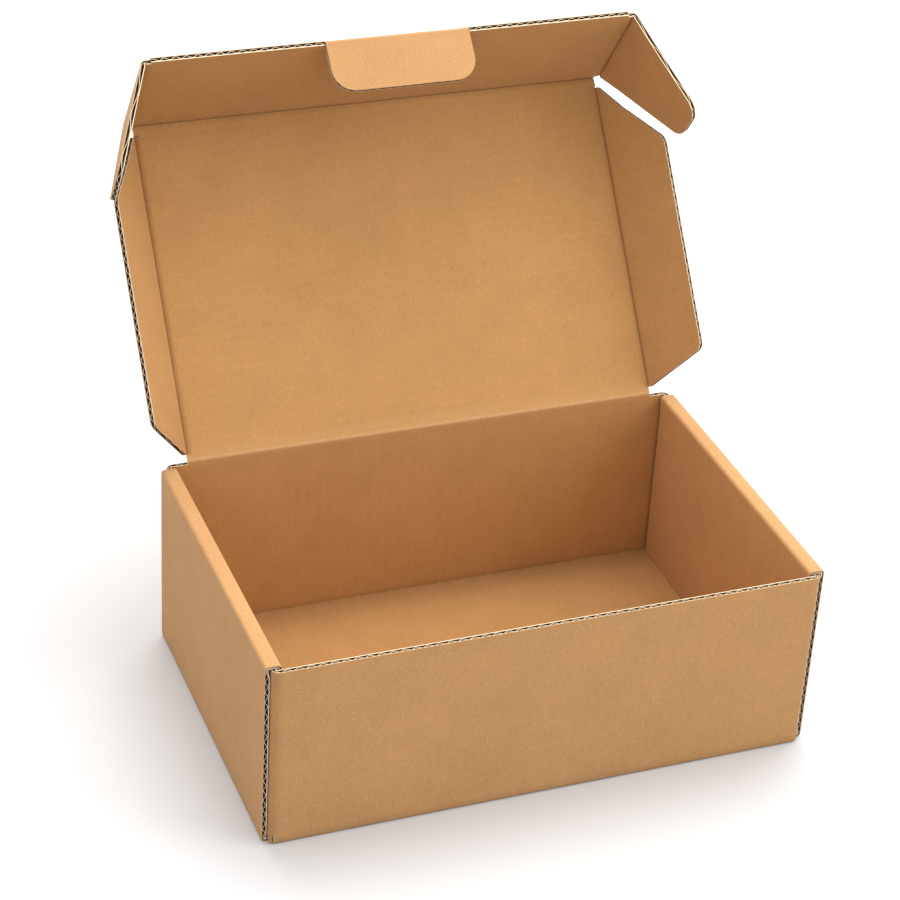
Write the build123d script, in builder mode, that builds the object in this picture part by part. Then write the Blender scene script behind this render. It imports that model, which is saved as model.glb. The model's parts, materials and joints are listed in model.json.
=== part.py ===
"""Open roll-end, tuck-front mailer box, die-cut and folded from one sheet of corrugated board.

Origin: middle of the tray's underside. +X right, +Y to the back, +Z up, millimetres.
"""
from build123d import *
from math import cos, floor, radians, sin, tan
import os

os.makedirs("parts", exist_ok=True)

# --- board ---------------------------------------------------------------------------------
board = 2.9              # thickness of the corrugated board
liner = 0.45             # flat paper on each side of the fluting
flute_pitch = 6.4        # from one wave of the fluting to the next
flute_paper = 0.5        # width that the fluting's own paper takes between two cells
flute_depth = 6.0        # how far the cells are open behind a raw edge

# --- tray ----------------------------------------------------------------------------------
box_width = 320.0        # over the two side walls
box_depth = 206.0        # over the front and back walls
wall_height = 114.0      # to the top of the rolled side walls
front_wall_height = 112.3
side_setback = 4.4       # side walls start this far behind the front wall's face
pocket_fit = 0.3         # clearance on each side of a corner flap in its pocket
corner_flap_length = 62.0
corner_fold_radius = 3.0
bottom_fold_radius = 2.2
roll_radius = 2.8        # rounded shoulders of the rolled side walls
inner_wall_gap = 0.25    # rolled-in wall stands this far above the floor between its tabs
tab_width = 32.0         # locking tabs of the rolled-in walls
tab_spacing = 96.0
tab_fit = 0.6            # slot's clearance at each end of a tab

# --- lid -----------------------------------------------------------------------------------
fold_gap = 0.3           # running clearance at every crease that moves
lid_front_gap = 5.0      # closed, the tucked front panel stands this far behind the front wall
ear_wall_gap = 1.6       # closed, an ear clears the rolled wall by this
flap_ear_gap = 0.4       # a side flap clears the ear outside it
front_panel_height = 72.0
side_flap_width = 43.0
ear_length = 66.0
thumb_tab_width = 86.0
thumb_tab_length = 30.0

# --- fold angles as the box stands ------------------------------------------------------------
lid_lean = 37.0          # lid leans back from upright
front_panel_fold = 73.0  # each of these is the turn away from flat
right_flap_fold = 58.0
left_flap_fold = 56.0
right_ear_fold = 64.0
left_ear_fold = 68.0
thumb_tab_fold = 100.0

# --- furthest turn of each crease, which its neighbour's edge makes room for --------------------
flap_fold_limit = 116.0
panel_fold_limit = 104.0
ear_fold_limit = 98.0
thumb_fold_limit = 120.0

# --- worked out -----------------------------------------------------------------------------
half_board = board / 2
pocket = board + 2 * pocket_fit
side_wall = 2 * board + pocket
half_width = box_width / 2
half_depth = box_depth / 2
inner_half_width = half_width - side_wall
flap_face_x = half_width - board - pocket_fit
edge_gap = half_board + fold_gap
hinge_y = half_depth - half_board
hinge_z = wall_height + half_board + fold_gap
lid_length = box_depth - 2 * board - lid_front_gap
ear_fold_x = inner_half_width - ear_wall_gap - half_board
flap_fold_x = ear_fold_x - board - flap_ear_gap


def fold_plane(origin, across, along):
    """Plane on a panel's middle layer: local X runs across it, local Y away from its crease."""
    return Plane(origin=origin, x_dir=across, z_dir=across.cross(along))


def turned(flat, up, degrees):
    """Direction that starts along flat and turns towards up."""
    return flat * cos(radians(degrees)) + up * sin(radians(degrees))


right = Vector(1, 0, 0)
lid_up = Vector(0, sin(radians(lid_lean)), cos(radians(lid_lean)))
lid_inward = right.cross(lid_up)
lid_hinge = Vector(0, hinge_y, hinge_z)
front_crease = lid_hinge + lid_up * lid_length
panel_up = turned(lid_up, lid_inward, front_panel_fold)
panel_inward = right.cross(panel_up)
thumb_crease = front_crease + panel_up * front_panel_height
thumb_up = turned(panel_up, panel_inward, thumb_tab_fold)


def board_panel(outline):
    """Give a panel's outline the board's thickness, half on each side of its plane."""
    extrude(outline.sketch, amount=half_board, both=True)


def knuckle(start, direction, length):
    """Round edge of a panel along the crease it turns on."""
    with BuildSketch(Plane(origin=start, z_dir=direction)) as end:
        Circle(half_board)
    extrude(end.sketch, amount=length)


def relieve(start, direction, length, outward, inward, limit):
    """Bevel the inner side of a panel's edge, so that its neighbour can fold to limit degrees.

    start is on the crease, outward points from the panel to the crease.
    """
    reach = half_board * tan(radians(limit / 2)) + fold_gap
    with BuildSketch(Plane(origin=start, x_dir=outward, z_dir=outward.cross(inward))) as bevel:
        with BuildLine():
            Polyline(
                (-edge_gap, -half_board / 2),
                (-reach, half_board),
                (0, half_board),
                (0, -half_board / 2),
                close=True,
            )
        make_face()
    side = 1 if outward.cross(inward).dot(direction) > 0 else -1
    extrude(bevel.sketch, amount=side * length, mode=Mode.SUBTRACT)


def open_flutes(middle, along, outward, length):
    """Cut the cells of the fluting into a raw edge, pointing to one liner and then the other."""
    wave = board - 2 * liner
    count = floor((length - flute_pitch) / flute_pitch)
    cell_base = flute_pitch - 2 * flute_paper
    cell_height = wave - flute_paper / 2
    with BuildSketch(Plane(origin=middle, x_dir=along, z_dir=outward)) as cells:
        for side, cell_count in ((-1, count), (1, count - 1)):
            with GridLocations(flute_pitch, 0, cell_count, 1):
                Polygon(
                    (-cell_base / 2, side * wave / 2),
                    (cell_base / 2, side * wave / 2),
                    (0, side * (wave / 2 - cell_height)),
                    align=None,
                )
    extrude(cells.sketch, amount=-flute_depth, mode=Mode.SUBTRACT)


# --- tray: base, walls, rolled side walls and the corner flaps tucked inside them ---------------
flap_top = wall_height - board - pocket_fit
wall_length = box_depth - 2 * side_setback
raw_edge_length = wall_height - 2 * roll_radius
tab_x = inner_half_width + half_board


def end_wall(side, height):
    """Front (side -1) or back (side 1) wall with its two folds and corner flaps."""
    with BuildSketch() as strip:
        with Locations((0, side * (half_depth - corner_flap_length / 2))):
            Rectangle(2 * flap_face_x, corner_flap_length)
        fillet(strip.vertices().group_by(Axis.Y)[-1 if side > 0 else 0], corner_fold_radius)
        with Locations((0, side * (half_depth - board - corner_flap_length / 2))):
            Rectangle(2 * (flap_face_x - board), corner_flap_length, mode=Mode.SUBTRACT)
    extrude(strip.sketch, amount=height)


def rolled_wall(side):
    """Side wall: outer board, flat rolled top and inner board, with the pocket between them."""
    middle_x = side * (half_width - side_wall / 2)
    with BuildSketch(Plane.XZ) as section:
        with Locations((middle_x, wall_height / 2)):
            Rectangle(side_wall, wall_height)
        fillet(section.vertices().group_by(Axis.Y)[-1], roll_radius)
        foot = section.vertices().group_by(Axis.Y)[0].sort_by(Axis.X)
        fillet(foot[-1 if side > 0 else 0], bottom_fold_radius)
        with Locations((middle_x, wall_height / 2)):
            Rectangle(pocket, wall_height - 2 * board, mode=Mode.SUBTRACT)
        with Locations((side * tab_x, board + inner_wall_gap / 2)):
            Rectangle(board + pocket_fit, inner_wall_gap, mode=Mode.SUBTRACT)
    extrude(section.sketch, amount=wall_length / 2, both=True)


with BuildPart() as tray:
    with BuildSketch():
        Rectangle(2 * flap_face_x, box_depth)
        Rectangle(box_width, wall_length)
    extrude(amount=board)
    end_wall(-1, front_wall_height)
    end_wall(1, wall_height)
    # the corner flaps end below the roll of the wall that holds them
    with BuildSketch(Plane.XY.offset(flap_top)):
        Rectangle(box_width, wall_length + 2 * pocket_fit)
    extrude(amount=board + 2 * pocket_fit, mode=Mode.SUBTRACT)
    for side in (-1, 1):
        rolled_wall(side)
        # locking tabs of the inner board, each in its slot through the base
        with BuildSketch():
            with Locations((side * tab_x, 0)):
                with GridLocations(0, tab_spacing, 1, 2):
                    Rectangle(board + 2 * pocket_fit, tab_width + 2 * tab_fit)
        extrude(amount=board, mode=Mode.SUBTRACT)
        with BuildSketch(Plane.XY.offset(inner_wall_gap)):
            with Locations((side * tab_x, 0)):
                with GridLocations(0, tab_spacing, 1, 2):
                    Rectangle(board, tab_width)
        extrude(amount=2 * board)
        for end in (-1, 1):
            open_flutes(
                Vector(side * (half_width - half_board), end * wall_length / 2, wall_height / 2),
                Vector(0, 0, 1),
                Vector(0, end, 0),
                raw_edge_length,
            )
    open_flutes(
        Vector(0, half_board - half_depth, front_wall_height),
        right,
        Vector(0, 0, 1),
        2 * (flap_face_x - corner_fold_radius),
    )
tray.part.label = "tray"
export_step(tray.part, "parts/tray.step")


# --- lid panel --------------------------------------------------------------------------------
lid_edge_x = flap_fold_x - edge_gap
lid_front_edge = lid_length - edge_gap

with BuildPart() as lid_panel:
    with BuildSketch(fold_plane(lid_hinge, right, lid_up)) as outline:
        with Locations((0, lid_front_edge / 2)):
            Rectangle(2 * lid_edge_x, lid_front_edge)
    board_panel(outline)
    knuckle(lid_hinge - right * lid_edge_x, right, 2 * lid_edge_x)
    relieve(
        front_crease - right * lid_edge_x,
        right,
        2 * lid_edge_x,
        lid_up,
        lid_inward,
        panel_fold_limit,
    )
    for side in (-1, 1):
        relieve(
            lid_hinge + right * (side * flap_fold_x) - lid_up * board,
            lid_up,
            lid_length + 2 * board,
            right * side,
            lid_inward,
            flap_fold_limit,
        )
lid_panel.part.label = "lid_panel"
export_step(lid_panel.part, "parts/lid_panel.step")


# --- lid side flaps -----------------------------------------------------------------------------
flap_start = 3.5         # from the hinge crease to the flap's foot
flap_foot_slope = 15.5   # how far its lower edge rises across its width
flap_end = 7.0           # from its top to the lid's front crease
flap_top_slope = 41.0
flap_foot_radius = 6.0
flap_top_radius = 10.0


def side_flap(side, fold):
    """Flap that turns on the lid's side edge, with a cut-back foot and a bevelled top."""
    outward = turned(right * side, lid_inward, fold)
    crease = lid_hinge + right * (side * flap_fold_x)
    top = lid_length - flap_end
    edge_start = flap_start + flap_foot_slope
    edge_end = top - flap_top_slope
    with BuildSketch(fold_plane(crease, lid_up, outward)) as outline:
        with BuildLine():
            Polyline(
                (flap_start, 0),
                (edge_start, side_flap_width),
                (edge_end, side_flap_width),
                (top, 0),
                close=True,
            )
        make_face()
        outer = outline.vertices().group_by(Axis.Y)[-1].sort_by(Axis.X)
        fillet(outer[0], flap_foot_radius)
        outer = outline.vertices().group_by(Axis.Y)[-1].sort_by(Axis.X)
        fillet(outer[-1], flap_top_radius)
    board_panel(outline)
    knuckle(crease + lid_up * flap_start, lid_up, top - flap_start)
    middle = (edge_start + edge_end) / 2
    straight = edge_end - edge_start - flap_foot_radius - flap_top_radius
    open_flutes(crease + lid_up * middle + outward * side_flap_width, lid_up, outward, straight)


with BuildPart() as lid_side_flap_right:
    side_flap(1, right_flap_fold)
lid_side_flap_right.part.label = "lid_side_flap_right"
export_step(lid_side_flap_right.part, "parts/lid_side_flap_right.step")

with BuildPart() as lid_side_flap_left:
    side_flap(-1, left_flap_fold)
lid_side_flap_left.part.label = "lid_side_flap_left"
export_step(lid_side_flap_left.part, "parts/lid_side_flap_left.step")


# --- lid front panel ------------------------------------------------------------------------------
panel_edge_x = ear_fold_x - edge_gap
thumb_notch = thumb_tab_width / 2 + fold_gap
free_edge_run = panel_edge_x - thumb_notch

with BuildPart() as lid_front_panel:
    with BuildSketch(fold_plane(front_crease, right, panel_up)) as outline:
        with Locations((0, front_panel_height / 2)):
            Rectangle(2 * panel_edge_x, front_panel_height)
        with Locations((0, front_panel_height)):
            Rectangle(2 * thumb_notch, 2 * edge_gap, mode=Mode.SUBTRACT)
    board_panel(outline)
    knuckle(front_crease - right * lid_edge_x, right, 2 * lid_edge_x)
    relieve(
        thumb_crease - right * thumb_notch,
        right,
        2 * thumb_notch,
        panel_up,
        panel_inward,
        thumb_fold_limit,
    )
    for side in (-1, 1):
        relieve(
            front_crease + right * (side * ear_fold_x) - panel_up * board,
            panel_up,
            front_panel_height + 2 * board,
            right * side,
            panel_inward,
            ear_fold_limit,
        )
        run_middle = side * (thumb_notch + free_edge_run / 2)
        open_flutes(thumb_crease + right * run_middle, right, panel_up, free_edge_run)
lid_front_panel.part.label = "lid_front_panel"
export_step(lid_front_panel.part, "parts/lid_front_panel.step")


# --- ears of the front panel ------------------------------------------------------------------------
ear_start = 2.5          # from the lid's front crease to the ear's foot
ear_end = 2.0            # from its top to the panel's free edge
ear_foot_slope = 22.0
ear_tip_width = 28.0
ear_foot_radius = 10.0
ear_tip_radius = 13.0


def ear(side, fold):
    """Ear that turns on the end of the front panel and narrows to a round-cornered tip."""
    outward = turned(right * side, panel_inward, fold)
    crease = front_crease + right * (side * ear_fold_x)
    top = front_panel_height - ear_end
    tip_start = ear_start + ear_foot_slope
    with BuildSketch(fold_plane(crease, panel_up, outward)) as outline:
        with BuildLine():
            Polyline(
                (ear_start, 0),
                (tip_start, ear_length),
                (tip_start + ear_tip_width, ear_length),
                (top, 0),
                close=True,
            )
        make_face()
        tip = outline.vertices().group_by(Axis.Y)[-1].sort_by(Axis.X)
        fillet(tip[0], ear_foot_radius)
        tip = outline.vertices().group_by(Axis.Y)[-1].sort_by(Axis.X)
        fillet(tip[-1], ear_tip_radius)
    board_panel(outline)
    knuckle(crease + panel_up * ear_start, panel_up, top - ear_start)


with BuildPart() as ear_right:
    ear(1, right_ear_fold)
ear_right.part.label = "ear_right"
export_step(ear_right.part, "parts/ear_right.step")

with BuildPart() as ear_left:
    ear(-1, left_ear_fold)
ear_left.part.label = "ear_left"
export_step(ear_left.part, "parts/ear_left.step")


# --- thumb tab ----------------------------------------------------------------------------------------
thumb_tab_radius = 13.0

with BuildPart() as thumb_tab:
    with BuildSketch(fold_plane(thumb_crease, right, thumb_up)) as outline:
        with Locations((0, thumb_tab_length / 2)):
            Rectangle(thumb_tab_width, thumb_tab_length)
        fillet(outline.vertices().group_by(Axis.Y)[-1], thumb_tab_radius)
    board_panel(outline)
    knuckle(thumb_crease - right * (thumb_tab_width / 2), right, thumb_tab_width)
thumb_tab.part.label = "thumb_tab"
export_step(thumb_tab.part, "parts/thumb_tab.step")
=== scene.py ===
"""Open corrugated mailer box: every panel is real board, two liners with fluting between."""

import json
from math import asin, cos, pi, radians, sin, tan

import bpy
import numpy as np
from mathutils import Matrix, Vector


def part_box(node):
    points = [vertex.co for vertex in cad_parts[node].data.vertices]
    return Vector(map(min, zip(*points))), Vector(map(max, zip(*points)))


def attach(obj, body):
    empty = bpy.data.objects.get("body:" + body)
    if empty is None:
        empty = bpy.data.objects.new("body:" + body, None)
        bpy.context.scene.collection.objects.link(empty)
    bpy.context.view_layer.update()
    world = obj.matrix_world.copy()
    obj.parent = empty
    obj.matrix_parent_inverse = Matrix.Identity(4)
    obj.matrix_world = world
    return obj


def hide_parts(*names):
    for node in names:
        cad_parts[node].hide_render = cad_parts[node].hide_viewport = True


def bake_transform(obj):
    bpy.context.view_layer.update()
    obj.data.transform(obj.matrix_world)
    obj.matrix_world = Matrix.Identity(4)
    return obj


bl_info = {
    "name": "Mailer Box",
    "version": (1, 0, 0),
    "blender": (4, 5, 0),
    "location": "View3D > Sidebar > Mailer Box",
    "description": "Builds an open roll-end mailer box from corrugated board",
    "category": "Object",
}

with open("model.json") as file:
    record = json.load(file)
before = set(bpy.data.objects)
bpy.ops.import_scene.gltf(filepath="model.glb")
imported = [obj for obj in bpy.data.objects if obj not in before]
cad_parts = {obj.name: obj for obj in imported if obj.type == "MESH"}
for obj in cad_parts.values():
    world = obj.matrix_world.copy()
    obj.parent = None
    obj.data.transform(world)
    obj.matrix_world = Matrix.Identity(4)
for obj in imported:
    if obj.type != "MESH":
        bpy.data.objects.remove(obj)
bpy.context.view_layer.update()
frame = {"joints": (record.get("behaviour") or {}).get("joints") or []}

# --- places taken from the packed model ----------------------------------------------------------
TRAY_LOW, TRAY_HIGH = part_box("tray")
JOINTS = {joint["name"]: joint for joint in frame["joints"]}
HINGE = Vector(JOINTS["lid_hinge"]["pos_m"])
FRONT_CREASE = Vector(JOINTS["front_panel_crease"]["pos_m"])
THUMB_CREASE = Vector(JOINTS["thumb_tab_crease"]["pos_m"])
FLAP_FOLD_X = JOINTS["side_flap_right_crease"]["pos_m"][0]
EAR_FOLD_X = JOINTS["ear_right_crease"]["pos_m"][0]
RIGHT = Vector((1, 0, 0))
LID_UP = (FRONT_CREASE - HINGE).normalized()
LID_IN = RIGHT.cross(LID_UP)
PANEL_UP = (THUMB_CREASE - FRONT_CREASE).normalized()
PANEL_IN = RIGHT.cross(PANEL_UP)
LID_LENGTH = (FRONT_CREASE - HINGE).length
PANEL_HEIGHT = (THUMB_CREASE - FRONT_CREASE).length
WORLD = ((0, 0, 0), (1, 0, 0), (0, 1, 0), (0, 0, 1))

# --- small sizes in metres, and how finely a shape is divided ------------------------------------
BEND_STEPS = 8          # Runs in each round corner of a tray section
WAVE_STEPS = 8          # Rows of points in each wave of the fluting
SHARP_ANGLE = radians(46)
HAIR = 1e-6             # Each side of a sudden step in an edge
PRESS_GAIN = 1.6        # The wave is flat where 1 / PRESS_GAIN of its gap is closed
PRESS_LOSS = 0.92       # Share of the wave's height that is lost there
LEAST_SWING = 0.00002   # Least half height of the wave before it is flattened
UPTURN = 0.006          # The floor's edges turn up to this height, and the end walls start there
SLOT_PLAY = 0.0003      # Room between a locking tab and its slot
SLOT_RIM = 0.0002       # Least board outside a slot
FLOOR_GAP = 0.0002      # Between the floor and the corner flaps
CORNER_FOOT = 0.0006    # Height at which the upright folds start
STRIP_INSET = 0.0006    # The hinge strip ends this far inside the side flaps' creases
FLAP_START = 0.0035     # From the hinge to where a side flap starts
FLAP_STOP = 0.007       # From where it stops to the front crease


def length(name, default, description):
    """A size in metres that a user may change."""
    return bpy.props.FloatProperty(
        name=name, default=default, description=description, unit="LENGTH",
        subtype="DISTANCE", min=0.0, precision=5)


def angle(name, default, description):
    """A fold angle, given here in degrees."""
    return bpy.props.FloatProperty(
        name=name, default=radians(default), description=description, subtype="ANGLE")


def colour(name, default, description):
    """A colour in linear light."""
    return bpy.props.FloatVectorProperty(
        name=name, default=default, description=description, subtype="COLOR",
        size=3, min=0.0, max=1.0)


class MailerBoardSettings(bpy.types.PropertyGroup):
    """The corrugated board and its creases."""
    thickness: length("Board", 0.0029, "Thickness of the corrugated board")
    liner: length("Liner", 0.00052, "Thickness of the flat paper on each side")
    fluting: length("Fluting paper", 0.00034, "Thickness of the wavy paper in the middle")
    pitch: length("Flute pitch", 0.0064, "From one wave of the fluting to the next")
    fold_reach: length("Fold reach", 0.0012, "From a crease to where its bend ends")
    strip: length("Crease strip", 0.004, "Board on the fixed side of a crease that bends with it")
    ridge: length("Outer crease bead", 0.00025, "How far the liner swells along an outer bend")
    crush: length("Crease depth", 0.0008, "How far a crease presses the board in")
    edge_inset: length("Fluting inset", 0.0003, "How far the fluting ends inside a raw edge")


class MailerTraySettings(bpy.types.PropertyGroup):
    """The tray with its rolled side walls."""
    width: length("Width", TRAY_HIGH.x - TRAY_LOW.x, "Over the two side walls")
    depth: length("Depth", TRAY_HIGH.y - TRAY_LOW.y, "Over the front and back walls")
    height: length("Wall height", 0.114, "To the top of the rolled side walls")
    front_height: length("Front wall height", 0.1123, "To the raw top edge of the front wall")
    setback: length("Side wall setback", 0.0044, "Side walls start this far behind the front")
    pocket_gap: length("Pocket gap", 0.00055, "From the outer board to the tucked corner flap")
    pocket_fit: length("Pocket fit", 0.00005, "From the corner flap to the inner board")
    corner_flap: length("Corner flap", 0.062, "Length of the flap tucked in a side wall")
    corner_radius: length("Corner fold", 0.0042, "Outer radius of the upright folds")
    bottom_radius: length("Bottom fold", 0.0022, "Outer radius of the folds along the floor")
    roll_radius: length("Roll shoulder", 0.0021, "Outer radius of the rolled top's shoulders")
    tab_width: length("Locking tab", 0.032, "Width of each locking tab")
    tab_spacing: length("Tab spacing", 0.096, "From one locking tab to the next")


class MailerLidSettings(bpy.types.PropertyGroup):
    """The lid, its flaps, the front panel, its ears and the thumb tab."""
    flap_width: length("Side flap", 0.043, "Width of each side flap")
    ear_length: length("Ear", 0.066, "Length of each ear")
    tab_width: length("Thumb tab width", 0.086, "Along its crease")
    tab_length: length("Thumb tab length", 0.030, "Away from its crease")
    panel_fold: angle("Front panel fold", 73, "Turn of the front panel away from flat")
    flap_fold_left: angle("Left flap fold", 56, "Turn of the left side flap away from flat")
    flap_fold_right: angle("Right flap fold", 58, "Turn of the right side flap away from flat")
    ear_fold_left: angle("Left ear fold", 68, "Turn of the left ear away from flat")
    ear_fold_right: angle("Right ear fold", 64, "Turn of the right ear away from flat")
    tab_fold: angle("Thumb tab fold", 100, "Turn of the thumb tab away from flat")


class MailerFinishSettings(bpy.types.PropertyGroup):
    """Colours and strengths of the paper finishes."""
    inside: colour("Inside", (0.500, 0.258, 0.090), "Liner on the inside of the box")
    outside: colour("Outside", (0.540, 0.284, 0.112), "Liner on the outside of the box")
    cut: colour("Cut edge", (0.86, 0.70, 0.48), "Light raw edge of the inner liner and fluting")
    cut_dark: colour("Outer cut edge", (0.60, 0.40, 0.22), "Raw edge of the outer liner")
    # Near black: painted shade in the cells between the liners, darker than the paper itself
    fluting: colour("Fluting", (0.12, 0.060, 0.026), "Wavy paper in the middle")
    dark_fibre: colour("Dark fibres", (0.26, 0.125, 0.05), "Dark flecks in the kraft paper")
    light_fibre: colour("Light fibres", (0.80, 0.56, 0.33), "Light flecks in the kraft paper")
    fleck: bpy.props.FloatProperty(
        name="Flecks", default=0.16, min=0.0, max=1.0, description="How strong the flecks are")
    washboard: bpy.props.FloatProperty(
        name="Washboard", default=0.22, min=0.0, max=1.0,
        description="How clearly the fluting shows through the liners")


class MailerStudioSettings(bpy.types.PropertyGroup):
    """Floor, lights and camera."""
    floor: colour("Floor", (0.70, 0.70, 0.705), "Pale floor")
    bounce: colour("Floor bounce", (0.45, 0.45, 0.45), "Light that the floor gives back")
    key: bpy.props.FloatProperty(
        name="Key light", default=58.0, min=0.0, description="Power of the soft light above")
    fill: bpy.props.FloatProperty(
        name="Fill light", default=22.0, min=0.0,
        description="Power of the soft light at the right")
    sky: bpy.props.FloatProperty(
        name="Surroundings", default=1.0, min=0.0, description="Strength of the white room")
    place: bpy.props.FloatVectorProperty(
        name="Camera place", default=(-0.5052, -1.1666, 0.9335), size=3, unit="LENGTH",
        subtype="XYZ", description="Where the camera stands")
    yaw: angle("Camera yaw", 22.376, "Turn to the right of straight back")
    pitch: angle("Camera pitch", 31.402, "Turn downwards")
    roll: angle("Camera roll", 3.504, "Tilt of the camera")
    lens: bpy.props.FloatProperty(
        name="Lens", default=108.68, min=1.0, description="Focal length in millimetres")


# --- surfaces ------------------------------------------------------------------------------------
def rounded_path(corners, radii, steps=BEND_STEPS):
    """Line through the corners with each inner corner replaced by an arc of its radius.

    The arc starts and ends the radius times the tangent of half the turn away from the corner.
    Gives a table: run length, x, y and heading. In between, all four change in proportion.
    """
    corners = [np.array(c, float) for c in corners]
    xy, heading = [corners[0]], []
    ways = [(b - a) / np.linalg.norm(b - a) for a, b in zip(corners, corners[1:])]
    turns = [float(np.arctan2(a[0] * b[1] - a[1] * b[0], a @ b)) for a, b in zip(ways, ways[1:])]
    start = float(np.arctan2(ways[0][1], ways[0][0]))
    heading.append(start)
    for corner, way, turn, radius in zip(corners[1:-1], ways, turns, radii):
        reach = radius * tan(abs(turn) / 2)
        side = np.sign(turn)
        centre = corner - way * reach + side * radius * np.array((-way[1], way[0]))
        sweep = start + turn * np.linspace(0, 1, steps + 1)
        arc = centre[None] + side * radius * np.stack((np.sin(sweep), -np.cos(sweep)), 1)
        xy.extend(arc)
        heading.extend(sweep)
        start += turn
    xy.append(corners[-1])
    heading.append(start)
    xy = np.array(xy)
    run = np.concatenate(([0], np.cumsum(np.linalg.norm(np.diff(xy, axis=0), axis=1))))
    return {"run": run, "x": xy[:, 0], "y": xy[:, 1], "heading": np.array(heading)}


def on_path(path, run, offset):
    """Point at a run length along the path, moved to its left by offset."""
    x = np.interp(run, path["run"], path["x"])
    y = np.interp(run, path["run"], path["y"])
    heading = np.interp(run, path["run"], path["heading"])
    return x - offset * np.sin(heading), y + offset * np.cos(heading)


def bend_runs(path, number):
    """Run lengths of the points in one of the path's round corners, counted from 0."""
    first = 1 + number * (BEND_STEPS + 1)
    return path["run"][first:first + BEND_STEPS + 1]


def near_bends(path, run, reach, numbers=(0, 1)):
    """Sum of bell curves, one at the middle of each of the path's numbered round corners."""
    return sum(near(run, bend_runs(path, number)[BEND_STEPS // 2], reach) for number in numbers)


def space(origin, first, second, third, a, b, c):
    """Origin plus a, b and c times the three directions, for whole arrays."""
    a, b, c = np.broadcast_arrays(a, b, c)
    return (np.array(origin) + a[..., None] * np.array(first) + b[..., None] * np.array(second)
            + c[..., None] * np.array(third))


def slab(point, s, w, low, high, inks):
    """Closed sheet: the grid (s, w) at offset high, the same grid at offset low, and four edges.

    point(s, w, offset) places it. inks are the material numbers of high, low and the edges.
    """
    s = np.broadcast_to(s, w.shape)
    low = np.broadcast_to(low, w.shape)
    high = np.broadcast_to(high, w.shape)
    rows, columns = w.shape
    vertices = np.concatenate((point(s, w, high).reshape(-1, 3), point(s, w, low).reshape(-1, 3)))
    index = np.arange(rows * columns).reshape(rows, columns)
    under = index + rows * columns

    def quads(a, b, c, d):
        return np.stack((a, b, c, d), -1).reshape(-1, 4)

    top = quads(index[:-1, :-1], index[1:, :-1], index[1:, 1:], index[:-1, 1:])
    bottom = quads(under[:-1, :-1], under[:-1, 1:], under[1:, 1:], under[1:, :-1])
    edges = np.concatenate((
        quads(index[:-1, 0], under[:-1, 0], under[1:, 0], index[1:, 0]),
        quads(index[1:, -1], under[1:, -1], under[:-1, -1], index[:-1, -1]),
        quads(index[0, 1:], under[0, 1:], under[0, :-1], index[0, :-1]),
        quads(index[-1, :-1], under[-1, :-1], under[-1, 1:], index[-1, 1:]),
    ))
    faces = np.concatenate((top, bottom, edges))
    ink = np.repeat(inks, (len(top), len(bottom), len(edges)))
    corner = vertices[faces]
    volume = np.einsum("ij,ij->i", corner[:, 0], np.cross(corner[:, 1], corner[:, 2])).sum()
    volume += np.einsum("ij,ij->i", corner[:, 0], np.cross(corner[:, 2], corner[:, 3])).sum()
    if volume < 0:
        faces = faces[:, ::-1]
    return vertices, faces, ink


# The last material, on the fluting and the liners' faces inside the board, is near black: painted
# shade in the cells
INSIDE, OUTSIDE, CUT, CUT_DARK, SHADED_FLUTING = range(5)


def board_layers(settings, point, span, width_at, top_at, crease_shade_at, rib_at, bends=None):
    """Corrugated board: inner liner, outer liner and a sine wave of fluting between them.

    span is the line of s values, width_at(s) gives the grid of w values at each s, top_at(s, w)
    the inner face's offset and the crease function (s, w) how much painted shade darkens a crease,
    below 0 where a painted highlight makes it paler instead. The fluting runs along w, and its
    offset is the gap's half height times the sine of s over the pitch. Where the board is pressed
    thin, the wave flattens against the inner liner.
    """
    half = settings.thickness / 2
    paper = settings.fluting / 2
    parts = []

    def add(s, w, low, high, inks):
        s_grid = np.broadcast_to(s, w.shape)
        vertices, faces, ink = slab(point, s, w, low, high, inks)
        # Values of the painted crease shade and painted highlight for this sheet
        fold = np.broadcast_to(crease_shade_at(s_grid, w), w.shape)
        rib = np.broadcast_to(rib_at(s_grid, w), w.shape)
        parts.append((vertices, faces, ink, np.tile(rib.ravel(), 2), np.tile(fold.ravel(), 2)))

    s = span[:, None]
    w = width_at(s)
    top = np.broadcast_to(top_at(s, w), w.shape)
    add(s, w, top - settings.liner, top, (INSIDE, SHADED_FLUTING, CUT))
    add(s, w, -half, settings.liner - half, (SHADED_FLUTING, OUTSIDE, CUT_DARK))
    waves = np.arange(span[0] + paper, span[-1] - paper, settings.pitch / WAVE_STEPS)
    if bends is not None:
        waves = np.unique(np.concatenate((waves, bends)))
    s = waves[:, None]
    w = width_at(s)
    inset = settings.edge_inset / np.maximum(w[:, -1:] - w[:, :1], HAIR)
    w = w[:, :1] + (w - w[:, :1]) * (1 - 2 * inset) + settings.edge_inset
    top = np.broadcast_to(top_at(s, w), w.shape) - settings.liner
    bottom = settings.liner - half
    open_gap = half - settings.liner - bottom
    pressed = np.clip(PRESS_GAIN * (open_gap - (top - bottom)) / open_gap, 0, 1)
    swing = np.maximum((top - bottom) / 2 - paper, LEAST_SWING) * (1 - PRESS_LOSS * pressed)
    middle = (top + bottom) / 2 * (1 - pressed) + (top - swing - paper) * pressed
    wave = middle + swing * np.sin(2 * pi * s / settings.pitch)
    add(s, w, wave - paper, wave + paper, (SHADED_FLUTING, SHADED_FLUTING, CUT))
    return parts


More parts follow.
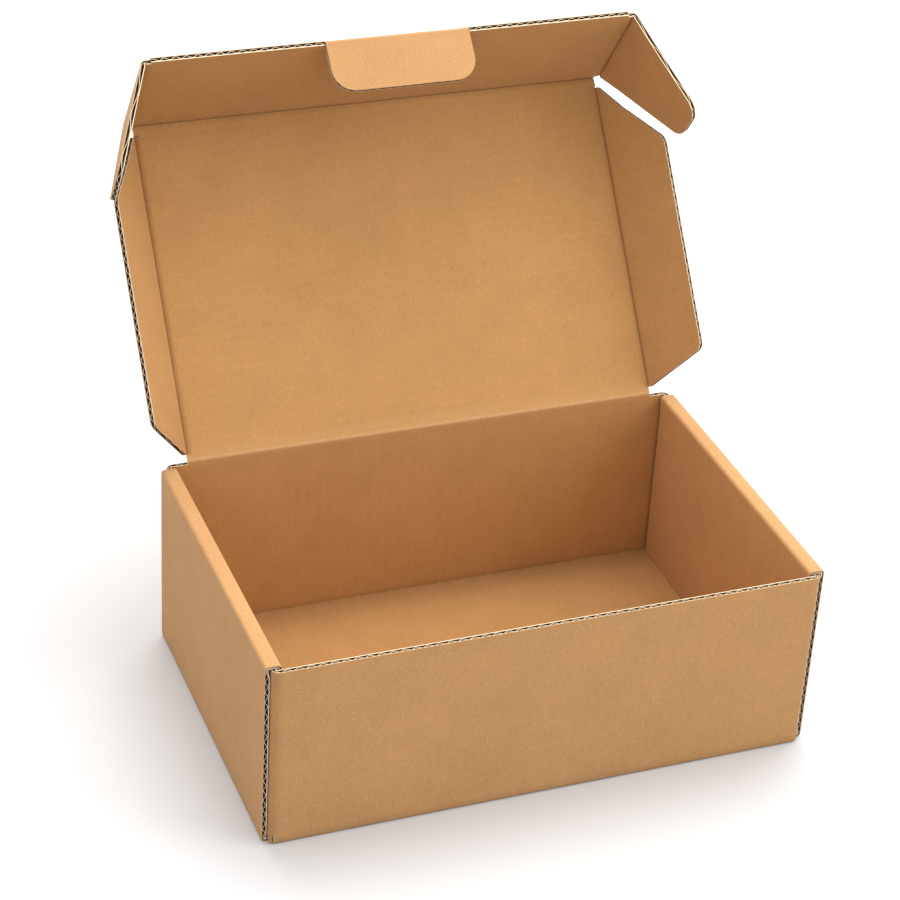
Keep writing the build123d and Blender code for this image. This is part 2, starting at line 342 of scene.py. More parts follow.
def make_piece(name, parts):
    """One mesh object from several closed sheets, with its rib and fold values on the vertices."""
    starts = np.cumsum([0] + [len(part[0]) for part in parts[:-1]])
    vertices = np.concatenate([part[0] for part in parts])
    faces = np.concatenate([part[1] + start for part, start in zip(parts, starts)])
    mesh = bpy.data.meshes.new(name)
    mesh.from_pydata(vertices.tolist(), [], faces.tolist())
    mesh.polygons.foreach_set("material_index", np.concatenate([part[2] for part in parts]))
    mesh.polygons.foreach_set("use_smooth", np.ones(len(faces), bool))
    # The fold values place the painted crease shade (above 0) and painted highlight (below 0)
    for label, column in (("rib", 3), ("fold", 4)):
        values = np.concatenate([part[column] for part in parts]).astype(np.float32)
        mesh.attributes.new(label, "FLOAT", "POINT").data.foreach_set("value", values)
    for finish in ("kraft_inside", "kraft_outside", "cut_edge", "cut_edge_dark", "fluting_paper"):
        mesh.materials.append(paper_finish(finish))
    mesh.set_sharp_from_angle(angle=SHARP_ANGLE)
    if mesh.validate():
        raise RuntimeError(f"{name}: its mesh has faults")
    piece = bpy.data.objects.new(name, mesh)
    bpy.context.scene.collection.objects.link(piece)
    return piece


def near(value, middle, reach):
    """Bell curve: 1 at the middle, and nearly 0 two reaches away."""
    return np.exp(-((value - middle) / reach) ** 2)


def outline(corners, radii):
    """Free edge of a panel as a function of s: straight runs with round corners."""
    path = rounded_path(corners, radii, steps=7)
    return path["x"], path["y"]


def folding_board(settings, name, crease, along, ahead, inward, turn, edge, rib="s",
                  corners=()):
    """Panel that turns on a crease, with the strip of its neighbour that bends with it.

    The section runs straight for the strip, round the bend and straight to the free edge. A bell
    curve across the crease presses the inner face in, or swells it where the fold opens.
    edge is (s values, w values) of the free edge. corners are small solid pieces of board beside
    the panel, each from s to s and from w to w. Points between the two bodies turn smoothly.
    """
    least_flat, run_out = 0.0009, 0.01
    # Reaches of the painted crease shade, the painted highlight and the pressed groove
    shade_reach, highlight_reach, press_reach = 0.0013, 0.0010, 0.0009
    half = settings.thickness / 2
    strip, reach = settings.strip, settings.fold_reach
    size = abs(turn)
    radius = reach / tan(size / 2)
    arc = radius * size
    far = max(edge[1]) + run_out
    path = rounded_path(
        ((-strip, 0), (0, 0), (far * cos(turn), far * sin(turn))), (radius,), steps=10)
    shift = strip - 2 * reach + arc
    middle = strip - reach + arc / 2
    bend = strip - reach + arc * np.linspace(0, 1, 11)

    def width_at(s):
        last = np.maximum(np.interp(s, *edge), reach + least_flat) + shift
        first = bend[-1]
        rest = np.array((0.04, 0.12, 0.3, 1.0))
        columns = (np.zeros_like(s), bend + 0 * s, first + (last - first) * rest)
        return np.concatenate(columns, 1)

    # Painted shade darkens an inward crease; a painted highlight lightens an outward bend
    def crease_shade_at(s, w):
        return near(w, middle, shade_reach) if turn > 0 else -near(w, middle, highlight_reach)

    def top_at(s, w):
        depth = settings.crush if turn > 0 else -settings.ridge
        return half - depth * near(w, middle, press_reach)

    def point(s, w, offset):
        x, y = on_path(path, w, offset)
        return space(crease, along, ahead, inward, s, x, y)

    span = np.unique(np.concatenate((edge[0], np.linspace(edge[0][0], edge[0][-1], 13))))
    parts = board_layers(
        settings, point, span, width_at, top_at, crease_shade_at,
        (lambda s, w: s) if rib == "s" else (lambda s, w: w))
    for left, right, first, last in corners:
        columns = np.unique(np.concatenate(((first, last), bend[(bend > first) & (bend < last)])))
        s = np.array((left, right))[:, None]
        w = np.broadcast_to(columns[None], (2, len(columns)))
        vertices, faces, ink = slab(point, s, w, -half, top_at(s, w), (INSIDE, OUTSIDE, CUT))
        # The corner pieces get the same painted crease shade and highlight
        crease_shade = np.tile(np.broadcast_to(crease_shade_at(s, w), w.shape).ravel(), 2)
        parts.append((vertices, faces, ink, np.tile(w.ravel(), 2), crease_shade))
    piece = make_piece(name, parts)
    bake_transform(piece)
    return piece


# --- finishes ------------------------------------------------------------------------------------
def wire(tree, links):
    """Links a node's output to a node's input, each socket given by its name or number."""
    for source, output, target, slot in links:
        tree.links.new(source.outputs[output], target.inputs[slot])


def node(tree, kind, values=(), **settings):
    """Shader node of a kind with its settings, and its inputs' values by number or name."""
    made = tree.nodes.new("ShaderNode" + kind)
    for key, value in settings.items():
        setattr(made, key, value)
    for key, value in dict(values).items():
        made.inputs[key].default_value = value
    return made


def open_group(name, inputs, outputs):
    """Empty node group with named sockets."""
    group = bpy.data.node_groups.new(name, "ShaderNodeTree")
    for label, kind, value in inputs:
        socket = group.interface.new_socket(
            label, in_out="INPUT", socket_type="NodeSocket" + kind)
        if value is not None:
            socket.default_value = value
    for label, kind in outputs:
        group.interface.new_socket(label, in_out="OUTPUT", socket_type="NodeSocket" + kind)
    return group, group.nodes.new("NodeGroupInput"), group.nodes.new("NodeGroupOutput")


def kraft_fibre_group():
    """Kraft paper: soft clouds, dark and light flecks and a fine fibrous relief."""
    if "kraft_fibre" in bpy.data.node_groups:
        return bpy.data.node_groups["kraft_fibre"]
    group, start, end = open_group(
        "kraft_fibre",
        (("Vector", "Vector", None), ("Colour", "Color", (0.5, 0.3, 0.15, 1)),
         ("Dark", "Color", (0.26, 0.125, 0.05, 1)),
         ("Light", "Color", (0.8, 0.56, 0.33, 1)),
         ("Fleck", "Float", 0.4), ("Cloud", "Float", 0.1),
         ("Grain", "Float", 0.1)),
        (("Colour", "Color"), ("Height", "Float"),
         ("Roughness", "Float")))
    clouds = node(group, "TexNoise", {"Scale": 34.0, "Detail": 7.0, "Roughness": 0.72})
    stretch = node(group, "Mapping", {"Scale": (1.0, 0.85, 0.75)})
    fibres = node(group, "TexNoise", {"Scale": 1150.0, "Detail": 2.5, "Roughness": 0.7})
    flecks = node(group, "TexNoise", {"Scale": 620.0, "Detail": 3.0, "Roughness": 0.75})
    dark = node(group, "MapRange", {"From Min": 0.43, "From Max": 0.33})
    light = node(group, "MapRange", {"From Min": 0.58, "From Max": 0.68})
    dark_share = node(group, "Math", operation="MULTIPLY")
    light_share = node(group, "Math", operation="MULTIPLY")
    darker = node(group, "Mix", data_type="RGBA")
    lighter = node(group, "Mix", data_type="RGBA")
    swing = node(group, "Math", {1: 0.5}, operation="SUBTRACT")
    cloud_share = node(group, "Math", operation="MULTIPLY")
    value = node(group, "Math", {1: 1.0}, operation="ADD")
    grain = node(group, "Math", {1: 0.5}, operation="SUBTRACT")
    grained = node(group, "Math", operation="MULTIPLY_ADD")
    tint = node(group, "HueSaturation")
    relief = node(group, "Math", {1: 0.6}, operation="MULTIPLY_ADD")
    rough = node(group, "MapRange",
                 {"From Min": 0.3, "From Max": 0.7, "To Min": 0.76, "To Max": 0.9})
    wire(group, (
        (start, "Vector", clouds, "Vector"),
        (start, "Vector", stretch, "Vector"),
        (stretch, 0, fibres, "Vector"),
        (stretch, 0, flecks, "Vector"),
        (flecks, 0, dark, "Value"),
        (fibres, 0, light, "Value"),
        (dark, 0, dark_share, 0),
        (start, "Fleck", dark_share, 1),
        (light, 0, light_share, 0),
        (start, "Fleck", light_share, 1),
        (dark_share, 0, darker, "Factor"),
        (start, "Colour", darker, "A"),
        (start, "Dark", darker, "B"),
        (light_share, 0, lighter, "Factor"),
        (darker, "Result", lighter, "A"),
        (start, "Light", lighter, "B"),
        (clouds, 0, swing, 0),
        (swing, 0, cloud_share, 0),
        (start, "Cloud", cloud_share, 1),
        (cloud_share, 0, value, 0),
        (fibres, 0, grain, 0), (grain, 0, grained, 0),
        (start, "Grain", grained, 1), (value, 0, grained, 2),
        (grained, 0, tint, "Value"),
        (lighter, "Result", tint, "Color"),
        (tint, 0, end, "Colour"),
        (fibres, 0, relief, 0),
        (flecks, 0, relief, 2),
        (relief, 0, end, "Height"),
        (flecks, 0, rough, "Value"),
        (rough, 0, end, "Roughness"),
    ))
    return group


def washboard_group():
    """Fluting showing through a liner: a sine of the rib value, stronger in some places."""
    if "washboard" in bpy.data.node_groups:
        return bpy.data.node_groups["washboard"]
    group, start, end = open_group(
        "washboard",
        (("Vector", "Vector", None), ("Rib", "Float", 0.0),
         ("Pitch", "Float", 0.0064)),
        (("Line", "Float"),))
    share = node(group, "Math", operation="DIVIDE")
    whole = node(group, "Math", {1: 2 * pi}, operation="MULTIPLY")
    sine = node(group, "Math", operation="SINE")
    patches = node(group, "TexNoise", {"Scale": 14.0, "Detail": 2.0})
    gain = node(group, "MapRange", {"From Min": 0.35, "From Max": 0.65, "To Min": 0.25})
    line = node(group, "Math", operation="MULTIPLY")
    wire(group, (
        (start, "Rib", share, 0), (start, "Pitch", share, 1),
        (share, 0, whole, 0), (whole, 0, sine, 0),
        (start, "Vector", patches, "Vector"),
        (patches, 0, gain, "Value"),
        (sine, 0, line, 0), (gain, 0, line, 1),
        (line, 0, end, "Line"),
    ))
    return group


def crease_shade_and_highlight_group():
    """Painted crease light: painted shade darkens a crease and a painted highlight makes an
    outward bend paler, both patchy in places.
    """
    if "fold_wear" in bpy.data.node_groups:
        return bpy.data.node_groups["fold_wear"]
    group, start, end = open_group(
        "fold_wear",
        (("Vector", "Vector", None), ("Colour", "Color", (0.5, 0.3, 0.15, 1)),
         ("Worn", "Color", (0.3, 0.15, 0.06, 1)),
         ("Pale", "Color", (0.7, 0.5, 0.3, 1)), ("Fold", "Float", 0.0),
         ("Amount", "Float", 0.4)),
        (("Colour", "Color"), ("Mask", "Float")))
    breaks = node(group, "TexNoise", {"Scale": 240.0, "Detail": 3.0, "Roughness": 0.7})
    patchy = node(group, "MapRange",
                  {"From Min": 0.3, "From Max": 0.7, "To Min": 0.55, "To Max": 1.15})
    mask = node(group, "Math", operation="MULTIPLY")
    share = node(group, "Math", operation="MULTIPLY", use_clamp=True)
    # Mixes the painted crease shade into the colour
    crease_shade = node(group, "Mix", data_type="RGBA")
    opposite = node(group, "Math", {1: -1.0}, operation="MULTIPLY", use_clamp=True)
    # Mixes the painted highlight in where the values are below 0
    pale = node(group, "Mix", data_type="RGBA")
    wire(group, (
        (mask, 0, opposite, 0), (opposite, 0, pale, "Factor"),
        (crease_shade, "Result", pale, "A"), (start, "Pale", pale, "B"),
        (pale, "Result", end, "Colour"),
        (start, "Vector", breaks, "Vector"),
        (breaks, 0, patchy, "Value"),
        (patchy, 0, mask, 0), (start, "Fold", mask, 1),
        (mask, 0, share, 0), (start, "Amount", share, 1),
        (share, 0, crease_shade, "Factor"),
        (start, "Colour", crease_shade, "A"), (start, "Worn", crease_shade, "B"),
        (mask, 0, end, "Mask"),
    ))
    return group


def rgba(value):
    """Colour with full alpha."""
    return (*value, 1.0)


def paper_finish(name):
    """Paper material: kraft fibre, washboard lines and painted crease shade and highlight, each in
    its own amount.
    """
    if name in bpy.data.materials:
        return bpy.data.materials[name]
    looks = bpy.context.scene.mailer_finish
    # The fourth column is the strength of the painted crease shade
    base, fleck, lines, crease_shade_amount, relief = {
        "kraft_inside": (looks.inside, looks.fleck, looks.washboard, 0.45, 0.00010),
        "kraft_outside": (looks.outside, looks.fleck, 0.5 * looks.washboard, 0.25, 0.00010),
        "cut_edge": (looks.cut, 0.5, 0.0, 0.2, 0.00014),
        "cut_edge_dark": (looks.cut_dark, 0.5, 0.0, 0.2, 0.00014),
        # Fluting and inner board faces: colour darkened to paint the shade in the cells
        "fluting_paper": (looks.fluting, 0.4, 0.0, 0.2, 0.00012),
    }[name]
    material = bpy.data.materials.new(name)
    material.use_nodes = True
    material.diffuse_color = rgba(base)
    tree = material.node_tree
    shader = tree.nodes["Principled BSDF"]
    shader.inputs["Specular IOR Level"].default_value = 0.28
    shader.inputs["Sheen Weight"].default_value = 0.06
    where = node(tree, "TexCoord")
    rib = node(tree, "Attribute", attribute_name="rib")
    # Fold values: painted crease shade above 0, painted highlight below 0
    fold = node(tree, "Attribute", attribute_name="fold")
    fibre = node(tree, "Group", {
        "Colour": rgba(base), "Dark": rgba(looks.dark_fibre), "Light": rgba(looks.light_fibre),
        "Fleck": fleck, "Cloud": 0.30, "Grain": 0.32}, node_tree=kraft_fibre_group())
    board = node(tree, "Group", {"Pitch": bpy.context.scene.mailer_board.pitch},
                 node_tree=washboard_group())
    # Colours of the painted crease shade and of the painted highlight
    crease_shade, pale = [0.45 * v for v in base], [min(1.0, 1.12 * v + 0.06) for v in base]
    creased = node(tree, "Group", {"Worn": rgba(crease_shade), "Pale": rgba(pale), "Amount": crease_shade_amount},
                   node_tree=crease_shade_and_highlight_group())
    line_shade = 0.055
    shade = node(tree, "Math", {1: line_shade * lines, 2: 1.0}, operation="MULTIPLY_ADD")
    tint = node(tree, "HueSaturation")
    fine = node(tree, "Bump", {"Strength": 0.5, "Distance": relief})
    broad = node(tree, "Bump", {"Strength": 0.6 * lines, "Distance": 0.00012})
    wire(tree, (
        (where, "Object", fibre, "Vector"),
        (where, "Object", board, "Vector"),
        (where, "Object", creased, "Vector"),
        (rib, "Fac", board, "Rib"),
        (fold, "Fac", creased, "Fold"),
        (fibre, "Colour", creased, "Colour"),
        (board, "Line", shade, 0),
        (shade, 0, tint, "Value"),
        (creased, "Colour", tint, "Color"),
        (tint, 0, shader, "Base Color"),
        (fibre, "Roughness", shader, "Roughness"),
        (board, "Line", broad, "Height"),
        (fibre, "Height", fine, "Height"),
        (broad, 0, fine, "Normal"),
        (fine, 0, shader, "Normal"),
    ))
    return material


# --- tray ----------------------------------------------------------------------------------------
def inner_board(context):
    """How far from the middle a rolled-in board's centre stands.

    The outer board, the two gaps, the corner flap and half the inner board are outside it.
    """
    tray, board = context.scene.mailer_tray, context.scene.mailer_board
    return tray.width / 2 - 2.5 * board.thickness - tray.pocket_gap - tray.pocket_fit


def tab_slot(context):
    """Nearest and furthest reach from the middle of the slots for the locking tabs."""
    board = context.scene.mailer_board
    near_side = inner_board(context) - board.thickness / 2
    return near_side - SLOT_PLAY, near_side + board.thickness + SLOT_PLAY


def floor_reach(context):
    """How far from the middle the floor and its turned-up edges go."""
    tray, board = context.scene.mailer_tray, context.scene.mailer_board
    fold = tray.width / 2 - board.thickness - tray.pocket_gap - tray.corner_radius
    return max(fold, tab_slot(context)[1] + SLOT_RIM)


class MAILER_OT_floor(bpy.types.Operator):
    """Floor of the tray with the folds up to the front and back walls"""
    bl_idname = "mailer.floor"
    bl_label = "Floor"

    def execute(self, context):
        tray, board = context.scene.mailer_tray, context.scene.mailer_board
        half = board.thickness / 2
        edge = tray.depth / 2 - half
        bend = tray.bottom_radius - half
        path = rounded_path(((-edge, UPTURN), (-edge, half), (edge, half), (edge, UPTURN)),
                            (bend, bend))
        total = path["run"][-1]
        slot = tab_slot(context)
        outer = floor_reach(context)
        half_tab = tray.tab_width / 2 + 2 * SLOT_PLAY
        # Reach of the painted shade at the floor's folds
        shade_reach = 0.003
        near_cut = total / 2 + tray.tab_spacing / 2 - half_tab
        far_cut = total / 2 + tray.tab_spacing / 2 + half_tab
        parts = []

        def point(s, w, offset):
            y, z = on_path(path, w, offset)
            return space(*WORLD, s, y, z)

        def sheet(left, right, first, last):
            runs = path["run"]
            between = runs[(runs > first) & (runs < last)]
            columns = np.unique(np.concatenate(((first, last), between,
                                                np.linspace(first, last, 9))))
            s = np.linspace(left, right, 5)[:, None]
            w = np.broadcast_to(columns[None], (5, len(columns)))
            vertices, faces, ink = slab(point, s, w, -half, half, (INSIDE, OUTSIDE, CUT))
            rib = np.tile(np.broadcast_to(s, w.shape).ravel(), 2)
            # Painted shade darkens the floor's folds
            crease = near_bends(path, w, shade_reach)
            parts.append((vertices, faces, ink, rib, np.tile(crease.ravel(), 2)))

        sheet(-slot[0], slot[0], 0, total)
        for side in (-1, 1):
            left, right = sorted((side * slot[0], side * slot[1]))
            for first, last in ((0, total - far_cut), (total - near_cut, near_cut),
                                (far_cut, total)):
                sheet(left, right, first, last)
            left, right = sorted((side * slot[1], side * outer))
            sheet(left, right, 0, total)
        piece = make_piece("tray_floor", parts)
        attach(piece, "tray")
        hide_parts("tray")
        return {"FINISHED"}


def end_wall(context, side):
    """Front or back wall: board carried round a U in plan, flutes upright, flaps at its ends.

    s runs along the U and w is the height. Bell curves press the inner face in at the two folds.
    """
    tray, board = context.scene.mailer_tray, context.scene.mailer_board
    half = board.thickness / 2
    face_x = tray.width / 2 - board.thickness - tray.pocket_gap
    x = face_x - half
    y = side * (tray.depth / 2 - half)
    tail = side * (tray.depth / 2 - tray.corner_flap)
    bend = tray.corner_radius - half
    corners = ((-x, tail), (-x, y), (x, y), (x, tail))
    if side > 0:
        corners = corners[::-1]
    path = rounded_path(corners, (bend, bend))
    runs = path["run"]
    total = runs[-1]
    fold = bend_runs(path, 0)
    wall_start, wall_end = fold[1], bend_runs(path, 1)[-2]
    flap_top = tray.height - board.thickness - tray.pocket_fit
    flap_foot = board.thickness + FLOOR_GAP
    fold_x = np.interp(fold, runs, np.abs(path["x"]))
    corner = np.interp(-floor_reach(context), -fold_x, fold)
    strip_x = FLAP_FOLD_X - STRIP_INSET
    # The last is the reach of the painted shade at the upright folds
    press_depth, press_reach, shade_reach = 0.0007, 0.0012, 0.002

    def width_at(s):
        across = np.abs(np.interp(s, runs, path["x"]))
        on_wall = (s > wall_start) & (s < wall_end)
        if side < 0:
            top = np.where(on_wall, tray.front_height, flap_top)
        else:
            crease = HINGE.z - board.strip
            top = np.where(on_wall, np.where(across < strip_x, crease, tray.height), flap_top)
        inner = (s > corner) & (s < total - corner)
        foot = np.where(inner, UPTURN, np.where(on_wall, CORNER_FOOT, flap_foot))
        share = np.array((0, 0.03, 0.5, 0.97, 1.0))
        return foot + (top - foot) * share

    def point(s, w, offset):
        px, py = on_path(path, s, offset)
        return space(*WORLD, px, py, w)

    # Painted shade darkens the two upright folds
    def crease_shade_at(s, w):
        return near_bends(path, s, shade_reach) + 0 * w

    def top_at(s, w):
        return half - press_depth * near_bends(path, s, press_reach) + 0 * w

    steps = [wall_start, wall_end, corner, total - corner]
    if side > 0:
        middle = total / 2
        steps += [middle - strip_x, middle + strip_x]
    steps = np.array(steps)
    stops = np.concatenate((runs, steps - HAIR, steps + HAIR, np.linspace(0, total, 41)))
    span = np.unique(np.clip(stops, 0, total))
    parts = board_layers(board, point, span, width_at, top_at, crease_shade_at,
                         lambda s, w: s + 0 * w, bends=span[2:-2])
    piece = make_piece("front_wall" if side < 0 else "back_wall", parts)
    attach(piece, "tray")
    return piece


class MAILER_OT_end_walls(bpy.types.Operator):
    """Front and back walls with their rounded upright folds and tucked corner flaps"""
    bl_idname = "mailer.end_walls"
    bl_label = "Front and Back Walls"

    def execute(self, context):
        end_wall(context, -1)
        end_wall(context, 1)
        return {"FINISHED"}


def rolled_wall(context, side):
    """Side wall: board carried up the outside, over the top and down to the floor.

    s runs up, over and down, and w along the wall. The inner face sinks by a bell curve at the
    bottom fold, and under the roll by a flat-topped one, e to the minus sixth power.
    """
    tray, board = context.scene.mailer_tray, context.scene.mailer_board
    tab_gap, foot_gap = 0.0005, 0.00025
    # The third and fourth are the strength and reach of the painted shade at the bottom fold
    shorter, taper, crease_shade, shade_reach, past_roll = 0.0015, 0.006, 0.6, 0.0025, 0.004
    fold_depth, fold_reach, roll_depth, roll_reach = 0.0009, 0.002, 0.0011, 0.0062
    half = board.thickness / 2
    outer = tray.width / 2 - half
    inner = inner_board(context)
    start = tray.width / 2 - board.thickness - tray.pocket_gap - tray.corner_radius
    start = max(start, inner + half + tab_gap)
    bottom = tray.bottom_radius - half
    shoulder = tray.roll_radius - half
    top = tray.height - half
    corners = ((start, half), (outer, half), (outer, top), (inner, top),
               (inner, board.thickness + foot_gap))
    path = rounded_path(corners, (bottom, shoulder, shoulder))
    runs = path["run"]
    roll = [bend_runs(path, number)[BEND_STEPS // 2] for number in (1, 2)]
    end = tray.depth / 2 - tray.setback

    def width_at(s):
        share = np.array((-1, -0.985, -0.5, 0, 0.5, 0.985, 1))
        return share * (end - shorter * np.clip((s - roll[1]) / taper, 0, 1))

    def point(s, w, offset):
        x, z = on_path(path, s, offset)
        return space(*WORLD, side * x, w, z)

    # Painted shade darkens the bottom fold
    def crease_shade_at(s, w):
        return crease_shade * near_bends(path, s, shade_reach, (0,)) + 0 * w

    def top_at(s, w):
        sunk = np.exp(-((s - (roll[0] + roll[1]) / 2) / roll_reach) ** 6)
        pressed = near_bends(path, s, fold_reach, (0,))
        return half - fold_depth * pressed - roll_depth * sunk + 0 * w

    over = (bend_runs(path, 0)[-1] - past_roll, bend_runs(path, 2)[0] + past_roll)
    span = np.unique(np.concatenate((runs, np.linspace(0, runs[-1], 31),
                                     np.linspace(*over, 25))))
    parts = board_layers(board, point, span, width_at, top_at, crease_shade_at,
                         lambda s, w: s + 0 * w, bends=span[2:-2])
    piece = make_piece("side_wall_right" if side > 0 else "side_wall_left", parts)
    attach(piece, "tray")
    return piece


class MAILER_OT_side_walls(bpy.types.Operator):
    """Rolled side walls: outer board, rolled top and the inner board"""
    bl_idname = "mailer.side_walls"
    bl_label = "Rolled Side Walls"

    def execute(self, context):
        rolled_wall(context, -1)
        rolled_wall(context, 1)
        return {"FINISHED"}


class MAILER_OT_locking_tabs(bpy.types.Operator):
    """Tabs of the rolled-in walls, each in its slot through the floor"""
    bl_idname = "mailer.locking_tabs"
    bl_label = "Locking Tabs"

    def execute(self, context):
        tray, board = context.scene.mailer_tray, context.scene.mailer_board
        half = board.thickness / 2
        middle = inner_board(context)
        heights = np.array((0.0003, 0.0016, 0.00314))  # Off the ground, to under the inner board
        parts = []
        for side in (-1, 1):
            for place in (-1, 1):
                centre = (side * middle, place * tray.tab_spacing / 2, 0)

                def point(s, w, offset):
                    return space(centre, (0, 1, 0), (0, 0, 1), (-side, 0, 0), s, w, offset)

                span = np.linspace(-tray.tab_width / 2, tray.tab_width / 2, 9)
                parts += board_layers(
                    board, point, span, lambda s: heights + 0 * s,
                    lambda s, w: half + 0 * w, lambda s, w: 0 * w, lambda s, w: s + 0 * w)
        piece = make_piece("locking_tabs", parts)
        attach(piece, "tray")
        return {"FINISHED"}


# --- lid -----------------------------------------------------------------------------------------
class MAILER_OT_lid_panel(bpy.types.Operator):
    """Lid panel, bending up from the back wall on the hinge crease"""
    bl_idname = "mailer.lid_panel"
    bl_label = "Lid Panel"

    def execute(self, context):
        board = context.scene.mailer_board
        reach = FLAP_FOLD_X - board.strip
        ahead = Vector((0, 0, 1))
        inward = RIGHT.cross(ahead)
        lean = -asin(LID_UP.y)
        s = np.linspace(-reach, reach, 25)
        far = LID_LENGTH - board.strip
        wide = FLAP_FOLD_X - STRIP_INSET
        flap_gap_low, flap_gap_high = 0.0001, 0.0003
        low = (0.0, board.strip + FLAP_START - flap_gap_low)
        high = (LID_LENGTH - FLAP_STOP + flap_gap_high + board.strip, far + board.strip)
        corners = [(*across, *along) for across in ((-wide, -reach), (reach, wide))
                   for along in (low, high)]
        piece = folding_board(board, "lid", HINGE, RIGHT, ahead, inward, lean,
                              (s, np.full_like(s, far)), rib="w",
                              corners=corners)
        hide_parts("lid_panel")
        return {"FINISHED"}


class MAILER_OT_side_flaps(bpy.types.Operator):
    """Side flaps, bending in on the lid's side creases"""
    bl_idname = "mailer.side_flaps"
    bl_label = "Side Flaps"

    def execute(self, context):
        lid, board = context.scene.mailer_lid, context.scene.mailer_board
        first, last = FLAP_START, LID_LENGTH - FLAP_STOP
        low_slope, high_slope, radii = 0.0155, 0.041, (0.006, 0.010)
        edge = outline(((first, 0), (first + low_slope, lid.flap_width),
                        (last - high_slope, lid.flap_width), (last, 0)), radii)
        for side, name, turn in ((-1, "left", lid.flap_fold_left),
                                 (1, "right", lid.flap_fold_right)):
            crease = HINGE + RIGHT * (side * FLAP_FOLD_X)
            piece = folding_board(board, f"side_flap_{name}", crease, LID_UP, RIGHT * side,
                                  LID_IN, turn, edge)
            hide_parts(f"lid_side_flap_{name}")
        return {"FINISHED"}


class MAILER_OT_front_panel(bpy.types.Operator):
    """Front panel, bending in on the lid's front crease, with the notch for the thumb tab"""
    bl_idname = "mailer.front_panel"
    bl_label = "Front Panel"

    def execute(self, context):
        lid, board = context.scene.mailer_lid, context.scene.mailer_board
        reach = EAR_FOLD_X - board.strip
        notch_play = 0.0003
        notch = lid.tab_width / 2 + notch_play
        s = np.array((-reach, -notch - HAIR, -notch + HAIR, notch - HAIR, notch + HAIR, reach))
        low, high = PANEL_HEIGHT - board.strip, PANEL_HEIGHT
        w = np.array((high, high, low, low, high, high))
        piece = folding_board(board, "front_panel", FRONT_CREASE, RIGHT, LID_UP, LID_IN,
                              lid.panel_fold, (s, w), rib="w")
        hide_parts("lid_front_panel")
        return {"FINISHED"}


class MAILER_OT_ears(bpy.types.Operator):
    """Ears, bending in on the ends of the front panel"""
    bl_idname = "mailer.ears"
    bl_label = "Ears"

    def execute(self, context):
        lid, board = context.scene.mailer_lid, context.scene.mailer_board
        first, last = 0.0025, PANEL_HEIGHT - 0.002
        tip_start, tip_end, radii = 0.022, 0.050, (0.010, 0.013)
        edge = outline(((first, 0), (first + tip_start, lid.ear_length),
                        (first + tip_end, lid.ear_length), (last, 0)), radii)
        for side, name, turn in ((-1, "left", lid.ear_fold_left),
                                 (1, "right", lid.ear_fold_right)):
            crease = FRONT_CREASE + RIGHT * (side * EAR_FOLD_X)
            piece = folding_board(board, f"ear_{name}_board", crease, PANEL_UP, RIGHT * side,
                                  PANEL_IN, turn, edge)
            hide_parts(f"ear_{name}")
        return {"FINISHED"}


class MAILER_OT_thumb_tab(bpy.types.Operator):
    """Thumb tab, folded over the middle of the front panel"""
    bl_idname = "mailer.thumb_tab"
    bl_label = "Thumb Tab"

    def execute(self, context):
        lid, board = context.scene.mailer_lid, context.scene.mailer_board
        half = lid.tab_width / 2
        draft, radius = 1e-5, 0.013
        edge = outline(((-half, 0), (-half + draft, lid.tab_length),
                        (half - draft, lid.tab_length), (half, 0)), (radius, radius))
        piece = folding_board(board, "thumb_tab_board", THUMB_CREASE, RIGHT, PANEL_UP, PANEL_IN,
                              lid.tab_fold, edge)
        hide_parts("thumb_tab")
        return {"FINISHED"}


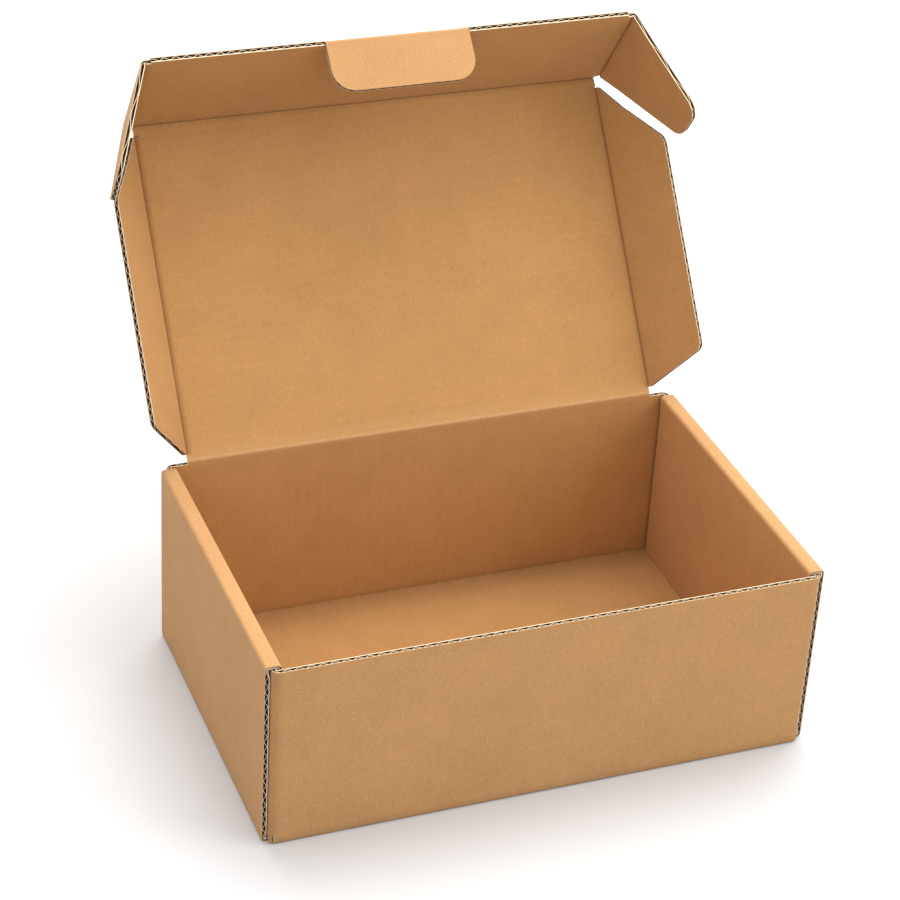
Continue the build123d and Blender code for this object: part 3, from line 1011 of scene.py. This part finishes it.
# --- studio --------------------------------------------------------------------------------------
class MAILER_OT_studio(bpy.types.Operator):
    """Pale floor, soft lights and the camera"""
    bl_idname = "mailer.studio"
    bl_label = "Studio"

    def execute(self, context):
        scene = context.scene
        studio = scene.mailer_studio
        size = 12.0
        mesh = bpy.data.meshes.new("studio_floor")
        mesh.from_pydata([(-size, -size, 0), (size, -size, 0), (size, size, 0), (-size, size, 0)],
                         [], [(0, 1, 2, 3)])
        floor = bpy.data.objects.new("studio_floor", mesh)
        scene.collection.objects.link(floor)
        material = bpy.data.materials.new("studio_floor")
        material.use_nodes = True
        shader = material.node_tree.nodes["Principled BSDF"]
        shader.inputs["Base Color"].default_value = rgba(studio.floor)
        shader.inputs["Roughness"].default_value = 0.9
        shader.inputs["Specular IOR Level"].default_value = 0.1
        tree = material.node_tree
        bounce = node(tree, "BsdfDiffuse", {"Color": rgba(studio.bounce)})
        seen = node(tree, "LightPath")
        either = node(tree, "MixShader")
        wire(tree, (
            (seen, "Is Camera Ray", either, 0),
            (bounce, 0, either, 1),
            (shader, 0, either, 2),
            (either, 0, tree.nodes["Material Output"], "Surface"),
        ))
        mesh.materials.append(material)
        world = bpy.data.worlds.new("studio_room")
        world.use_nodes = True
        world.node_tree.nodes["Background"].inputs["Color"].default_value = (1, 1, 1, 1)
        world.node_tree.nodes["Background"].inputs["Strength"].default_value = studio.sky
        scene.world = world
        target = Vector((0, 0, 0.12))
        for name, place, power, across in (
                ("key_light", (0.5, 0.9, 2.2), studio.key, 2.2),
                ("fill_light", (1.9, -0.9, 1.5), studio.fill, 1.8)):
            light = bpy.data.lights.new(name, "AREA")
            light.shape = "DISK"
            light.size = across
            light.energy = power
            lamp = bpy.data.objects.new(name, light)
            lamp.location = place
            lamp.rotation_euler = (target - Vector(place)).to_track_quat("-Z", "Y").to_euler()
            scene.collection.objects.link(lamp)
        look = Vector((sin(studio.yaw) * cos(studio.pitch), cos(studio.yaw) * cos(studio.pitch),
                       -sin(studio.pitch)))
        level = Vector((cos(studio.yaw), -sin(studio.yaw), 0))
        upright = level.cross(look)
        across = level * cos(studio.roll) + upright * sin(studio.roll)
        up = upright * cos(studio.roll) - level * sin(studio.roll)
        lens = bpy.data.cameras.new("camera")
        lens.sensor_width = 36.0
        lens.lens = studio.lens
        camera = bpy.data.objects.new("camera", lens)
        turn = Matrix((across, up, -look)).transposed().to_4x4()
        camera.matrix_world = Matrix.Translation(Vector(studio.place)) @ turn
        scene.collection.objects.link(camera)
        scene.camera = camera
        scene.view_settings.view_transform = "Standard"
        return {"FINISHED"}


BUILD_ORDER = (
    MAILER_OT_floor, MAILER_OT_end_walls, MAILER_OT_side_walls, MAILER_OT_locking_tabs,
    MAILER_OT_lid_panel, MAILER_OT_side_flaps, MAILER_OT_front_panel, MAILER_OT_ears,
    MAILER_OT_thumb_tab, MAILER_OT_studio,
)
SETTINGS = (
    ("mailer_board", MailerBoardSettings), ("mailer_tray", MailerTraySettings),
    ("mailer_lid", MailerLidSettings), ("mailer_finish", MailerFinishSettings),
    ("mailer_studio", MailerStudioSettings),
)


class MAILER_PT_panel(bpy.types.Panel):
    """Mailer box settings and the buttons that build it"""
    bl_idname = "MAILER_PT_panel"
    bl_label = "Mailer Box"
    bl_space_type = "VIEW_3D"
    bl_region_type = "UI"
    bl_category = "Mailer Box"

    def draw(self, context):
        for key, group in SETTINGS:
            box = self.layout.box()
            box.label(text=group.__doc__)
            for name in group.__annotations__:
                box.prop(getattr(context.scene, key), name)
        for operator in BUILD_ORDER:
            self.layout.operator(operator.bl_idname)


def register():
    """Adds the settings, operators and panel."""
    for key, group in SETTINGS:
        bpy.utils.register_class(group)
        setattr(bpy.types.Scene, key, bpy.props.PointerProperty(type=group))
    for operator in BUILD_ORDER:
        bpy.utils.register_class(operator)
    bpy.utils.register_class(MAILER_PT_panel)


def unregister():
    """Takes them out again, in the opposite order."""
    bpy.utils.unregister_class(MAILER_PT_panel)
    for operator in reversed(BUILD_ORDER):
        bpy.utils.unregister_class(operator)
    for key, group in reversed(SETTINGS):
        delattr(bpy.types.Scene, key)
        bpy.utils.unregister_class(group)


def main():
    """Builds the box and its studio."""
    register()
    for operator in BUILD_ORDER:
        family, action = operator.bl_idname.split(".")
        getattr(getattr(bpy.ops, family), action)()
    bpy.context.view_layer.update()


if __name__ == "__main__":
    main()
